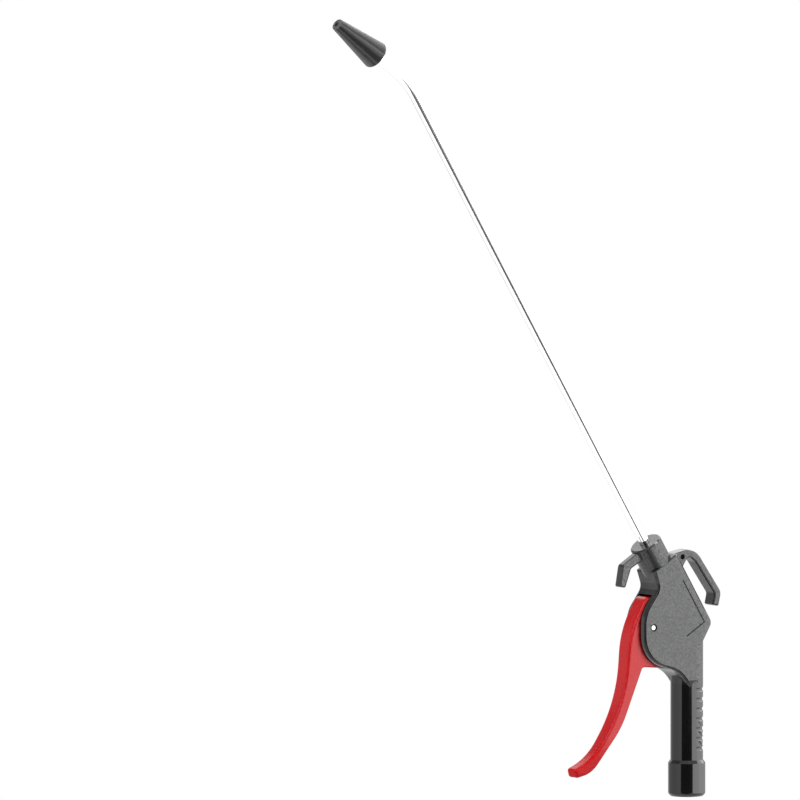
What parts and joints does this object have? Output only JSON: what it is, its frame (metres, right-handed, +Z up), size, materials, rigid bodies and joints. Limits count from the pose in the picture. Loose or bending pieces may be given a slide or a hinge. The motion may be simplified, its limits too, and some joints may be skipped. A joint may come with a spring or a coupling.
{
  "type": "pneumatic air duster",
  "caption": "Air blow gun: black pistol body with two hooks, red trigger lever and inner valve, and a long bent chrome nozzle tube with a rubber cone tip.",
  "frame": {"origin": "centre of the air inlet's mouth, at the foot of the handle", "axes": "+Z up along the handle's axis; -X forwards, to the lever and the nozzle's side; +Y to the other side of the mid-plane, which the nozzle lies in"},
  "size_m": [0.3515, 0.028, 0.5978],
  "materials": {
    "black_plastic": "fine matte moulded plastic",
    "red_plastic": "satin red plastic",
    "tube_chrome": "bright chrome plate",
    "tip_rubber": "matte rubber",
    "seal_rubber": "smooth rubber",
    "brass": "turned brass",
    "pin_steel": "ground steel",
    "valve_steel": "turned steel"
  },
  "bodies": {
    "body": {"housing": "black_plastic", "inlet_insert": "brass", "inlet_seal": "seal_rubber", "outlet_insert": "brass", "outlet_seal": "seal_rubber", "nozzle_tube": "tube_chrome", "tip_sleeve": "brass", "nozzle_tip": "tip_rubber", "lever_pin": "pin_steel", "gland_nut": "brass", "gland_seal": "seal_rubber", "stem_seal": "seal_rubber", "stem_seal_washer": "valve_steel", "valve_cage": "brass", "valve_seat": "brass", "seat_seal": "seal_rubber", "valve_spring": "valve_steel", "spring_rest": "valve_steel"},
    "lever": {"lever": "red_plastic"},
    "stem": {"valve_stem": "valve_steel", "poppet": "brass", "poppet_seal": "seal_rubber", "poppet_nut": "valve_steel"}
  },
  "joints": [
    {"name": "lever_hinge", "type": "hinge", "parent": "body", "child": "lever", "pos_m": [-0.0395, 0, 0.12943], "axis": [0, -1, 0], "range_deg": [0, 12], "stiffness_Nm_per_rad": 1.2, "springref_deg": -20.05},
    {"name": "stem_slide", "type": "slide", "parent": "body", "child": "stem", "axis": [1, 0, 0], "range_m": [0, 0.00294], "deforming": ["valve_spring"]}
  ],
  "couplings": [
    {"joint": "stem_slide", "follows": "lever_hinge", "m_per_rad": 0.01402}
  ]
}
